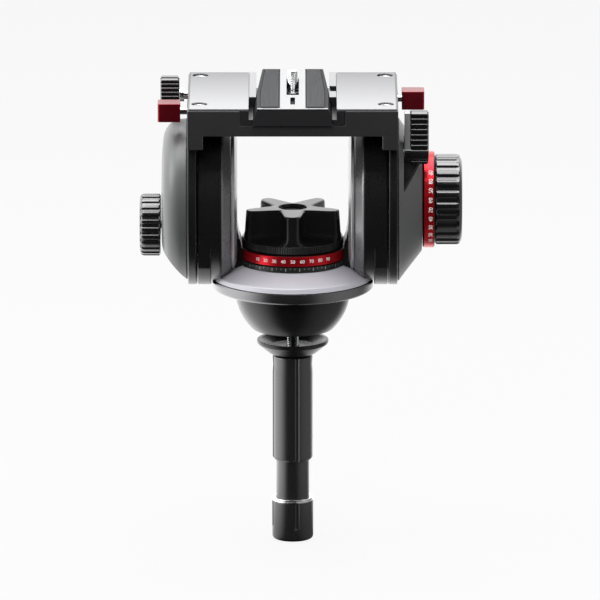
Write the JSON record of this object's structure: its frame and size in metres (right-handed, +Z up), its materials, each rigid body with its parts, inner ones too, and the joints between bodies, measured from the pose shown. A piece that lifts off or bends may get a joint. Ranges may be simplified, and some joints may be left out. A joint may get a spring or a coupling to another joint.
{
  "type": "fluid video head",
  "caption": "Fluid video head that pans and tilts on a half ball, with a sliding camera plate, drag knobs, locks and a tie-down handle.",
  "frame": {"origin": "centre of the half ball, on the underside of the base flange", "axes": "+Z up along the pan axis, +X along the tilt axis towards the tilt drag knob, front of the head towards -Y"},
  "size_m": [0.2786, 0.16, 0.4086],
  "materials": {
    "black_casting": "black satin paint on cast aluminium",
    "dark_casting": "dark grey satin paint on cast aluminium",
    "pale_casting": "pale satin aluminium",
    "panel_metal": "light grey satin sheet",
    "red_metal": "red anodised",
    "black_plastic": "fine grained moulding",
    "black_rubber": "ribbed soft grip",
    "grey_rubber": "matt pad",
    "silver": "bright plated",
    "steel": "turned steel",
    "bronze": "turned bronze",
    "vial_glass": "clear vial with a tinted fluid"
  },
  "bodies": {
    "ball_base": {"half_ball": "black_casting", "base_flange": "dark_casting", "pan_spindle": "steel", "thrust_bearing": "steel", "pan_drag_rotor": "bronze", "spindle_nut": "steel", "tie_down_stud": "steel"},
    "clamp_cup": {"tie_down_cup": "black_casting"},
    "tie_down_handle": {"tie_down_grip": "black_plastic"},
    "handle_extension": {"extension_tube": "black_casting", "end_ring": "silver", "end_knob": "black_plastic"},
    "pan_frame": {"pan_housing": "dark_casting", "pan_scale_ring": "black_plastic", "level_housing": "black_plastic", "level_vial": "vial_glass", "upright_right": "black_casting", "upright_left": "black_casting", "inner_cap_right": "pale_casting", "inner_cap_left": "pale_casting", "tilt_axle_right": "steel", "tilt_axle_left": "steel", "tilt_rotor": "bronze", "spring_cup": "dark_casting", "counterbalance_spring": "steel"},
    "pan_lock": {"pan_lock_lever": "black_plastic"},
    "pan_drag": {"pan_drag_ring": "red_metal", "pan_drag_knob": "black_plastic"},
    "cradle": {"cradle_arm_right": "black_casting", "cradle_arm_left": "black_casting", "tilt_bearing_right": "steel", "tilt_bearing_left": "steel", "side_cover_right": "dark_casting", "side_cover_left": "dark_casting", "tilt_cartridge": "dark_casting", "bridge_deck": "black_casting", "deck_panel_right": "panel_metal", "deck_panel_left": "panel_metal", "deck_screw_1": "steel", "deck_screw_2": "steel", "deck_screw_3": "steel", "deck_screw_4": "steel", "plate_rail_right": "black_casting", "plate_rail_left": "black_casting"},
    "tilt_lock": {"tilt_lock_lever": "black_rubber", "tilt_brake_pad": "black_plastic"},
    "tilt_drag": {"tilt_drag_ring": "red_metal", "tilt_drag_knob": "black_rubber"},
    "counterbalance": {"counterbalance_knob": "black_rubber", "counterbalance_pinion": "steel"},
    "spring_winder": {"spring_gear": "bronze"},
    "plate_lock": {"plate_lock_lever": "black_rubber"},
    "plate_jaw": {"clamp_jaw": "steel"},
    "tab_left": {"release_tab_left": "red_metal"},
    "tab_right": {"release_tab_right": "red_metal"},
    "plate": {"camera_plate": "black_casting", "pad_right": "grey_rubber", "pad_left": "grey_rubber"},
    "screw_carrier": {"screw_washer": "steel"},
    "plate_screw": {"camera_screw": "silver"}
  },
  "joints": [
    {"name": "clamp_slide", "type": "slide", "parent": "ball_base", "child": "clamp_cup", "axis": [0, 0, 1], "range_m": [0, 0.006]},
    {"name": "tie_down_turn", "type": "hinge", "parent": "clamp_cup", "child": "tie_down_handle", "pos_m": [0, 0, -0.1], "axis": [0, 0, 1], "range_deg": [0, 1440]},
    {"name": "handle_slide", "type": "slide", "parent": "tie_down_handle", "child": "handle_extension", "axis": [0, 0, 1], "range_m": [0, 0.028]},
    {"name": "pan", "type": "hinge", "parent": "ball_base", "child": "pan_frame", "pos_m": [0, 0, 0], "axis": [0, 0, 1], "continuous": true},
    {"name": "pan_lock_turn", "type": "hinge", "parent": "pan_frame", "child": "pan_lock", "pos_m": [0, 0.07, 0.0144], "axis": [0, 1, 0], "range_deg": [0, 60]},
    {"name": "pan_drag_turn", "type": "hinge", "parent": "pan_frame", "child": "pan_drag", "pos_m": [0, 0, 0.05], "axis": [0, 0, 1], "range_deg": [0, 300]},
    {"name": "tilt", "type": "hinge", "parent": "pan_frame", "child": "cradle", "pos_m": [0, 0, 0.078], "axis": [1, 0, 0], "range_deg": [-60, 90]},
    {"name": "tilt_lock_turn", "type": "hinge", "parent": "cradle", "child": "tilt_lock", "pos_m": [0.1, -0.034, 0.1258], "axis": [1, 0, 0], "range_deg": [0, 70]},
    {"name": "tilt_drag_turn", "type": "hinge", "parent": "cradle", "child": "tilt_drag", "pos_m": [0.12, 0, 0.078], "axis": [1, 0, 0], "range_deg": [0, 300]},
    {"name": "counterbalance_turn", "type": "hinge", "parent": "cradle", "child": "counterbalance", "pos_m": [-0.12, 0, 0.0555], "axis": [1, 0, 0], "range_deg": [0, 720]},
    {"name": "spring_wind", "type": "hinge", "parent": "cradle", "child": "spring_winder", "pos_m": [-0.1, 0, 0.078], "axis": [1, 0, 0], "range_deg": [-360, 0]},
    {"name": "plate_lock_turn", "type": "hinge", "parent": "cradle", "child": "plate_lock", "pos_m": [-0.1, 0.037, 0.162], "axis": [1, 0, 0], "range_deg": [0, 90]},
    {"name": "jaw_slide", "type": "slide", "parent": "cradle", "child": "plate_jaw", "axis": [1, 0, 0], "range_m": [0, 0.001]},
    {"name": "tab_left_push", "type": "slide", "parent": "cradle", "child": "tab_left", "axis": [1, 0, 0], "range_m": [0, 0.003], "stiffness_N_per_m": 300},
    {"name": "tab_right_push", "type": "slide", "parent": "cradle", "child": "tab_right", "axis": [-1, 0, 0], "range_m": [0, 0.003], "stiffness_N_per_m": 300},
    {"name": "plate_slide", "type": "slide", "parent": "cradle", "child": "plate", "axis": [0, 1, 0], "range_m": [-0.035, 0.035]},
    {"name": "screw_slide", "type": "slide", "parent": "plate", "child": "screw_carrier", "axis": [0, 1, 0], "range_m": [-0.046, 0.004]},
    {"name": "screw_turn", "type": "hinge", "parent": "screw_carrier", "child": "plate_screw", "pos_m": [0, 0.032, 0.16], "axis": [0, 0, 1], "continuous": true}
  ],
  "couplings": [
    {"joint": "clamp_slide", "follows": "tie_down_turn", "m_per_rad": 0.00023873},
    {"joint": "spring_wind", "follows": "counterbalance_turn", "ratio": -0.5},
    {"joint": "plate_lock_turn", "follows": "jaw_slide", "rad_per_m": 1570.7}
  ]
}
